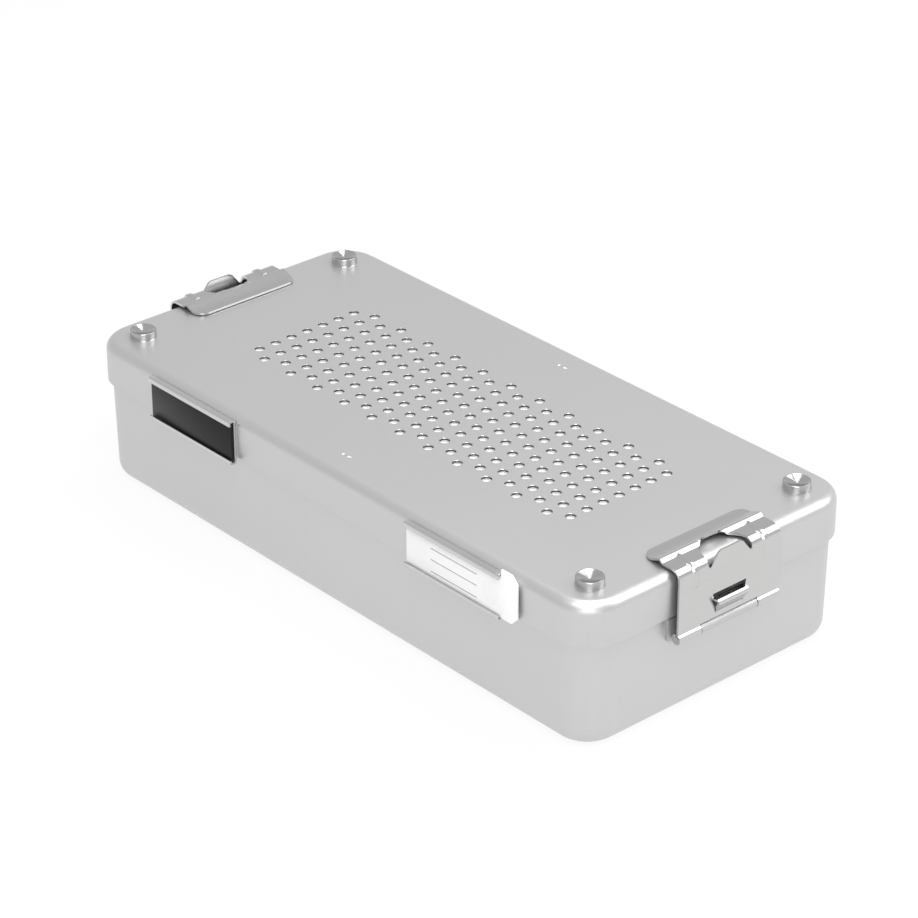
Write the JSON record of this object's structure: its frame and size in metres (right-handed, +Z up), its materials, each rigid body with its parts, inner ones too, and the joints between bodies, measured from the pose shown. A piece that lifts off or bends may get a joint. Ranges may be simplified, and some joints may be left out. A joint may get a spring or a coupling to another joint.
{
  "type": "surgical sterilization container",
  "caption": "Flat aluminium sterilization container for surgical instruments with a perforated lift-off lid, hinged end latches, label channels and a filter retainer.",
  "frame": {"origin": "middle of the tub's flat bottom face, on the surface that the container stands on", "axes": "+X along the length towards the right end latch, +Z up through the lid, and the front with the label channels faces -Y"},
  "size_m": [0.3116, 0.1431, 0.0664],
  "materials": {
    "tub_aluminium": "satin anodised",
    "lid_aluminium": "satin anodised",
    "retainer_aluminium": "satin anodised",
    "holder_aluminium": "bright anodised",
    "stainless_latch": "polished",
    "stainless_bracket": "polished",
    "pin_steel": "polished",
    "stud_steel": "turned",
    "clip_steel": "satin",
    "silicone": "matte",
    "name_plate_black": "semi-gloss",
    "card_white": "matte",
    "filter_paper": "non-woven, matte"
  },
  "bodies": {
    "base": {"base_tub": "tub_aluminium", "latch_bracket_left": "stainless_bracket", "latch_bracket_right": "stainless_bracket", "hinge_pin_left": "pin_steel", "hinge_pin_right": "pin_steel"},
    "lid": {"lid_shell": "lid_aluminium", "lid_gasket": "silicone", "stacking_studs": "stud_steel", "label_holder_left": "holder_aluminium", "label_holder_right": "holder_aluminium", "filter_sheet": "filter_paper", "filter_retainer": "retainer_aluminium", "retainer_post_front": "stud_steel", "retainer_post_rear": "stud_steel"},
    "latch_right": {"latch_right": "stainless_latch"},
    "latch_left": {"latch_left": "stainless_latch"},
    "label_card": {"label_card": "card_white"},
    "name_plate": {"name_plate": "name_plate_black"},
    "clip_front": {"retainer_clip_front": "clip_steel"},
    "clip_rear": {"retainer_clip_rear": "clip_steel"}
  },
  "joints": [
    {"name": "lid_lift", "type": "slide", "parent": "base", "child": "lid", "axis": [0, 0, 1], "range_m": [0, 0.024]},
    {"name": "latch_right_swing", "type": "hinge", "parent": "base", "child": "latch_right", "pos_m": [0.1516, 0, 0.0358], "axis": [0, 1, 0], "range_deg": [0, 150]},
    {"name": "latch_left_swing", "type": "hinge", "parent": "base", "child": "latch_left", "pos_m": [-0.1516, 0, 0.0358], "axis": [0, -1, 0], "range_deg": [0, 150]},
    {"name": "label_card_slide", "type": "slide", "parent": "lid", "child": "label_card", "axis": [1, 0, 0], "range_m": [0, 0.056]},
    {"name": "name_plate_slide", "type": "slide", "parent": "lid", "child": "name_plate", "axis": [1, 0, 0], "range_m": [0, 0.056]},
    {"name": "retainer_clip_front_turn", "type": "hinge", "parent": "lid", "child": "clip_front", "pos_m": [0, -0.057, 0.0593], "axis": [0, 0, 1], "range_deg": [0, 90]},
    {"name": "retainer_clip_rear_turn", "type": "hinge", "parent": "lid", "child": "clip_rear", "pos_m": [0, 0.057, 0.0593], "axis": [0, 0, 1], "range_deg": [0, 90]}
  ],
  "couplings": [
    {"joint": "latch_right_swing", "follows": "lid_lift", "rad_per_m": 109},
    {"joint": "latch_left_swing", "follows": "lid_lift", "rad_per_m": 109}
  ]
}
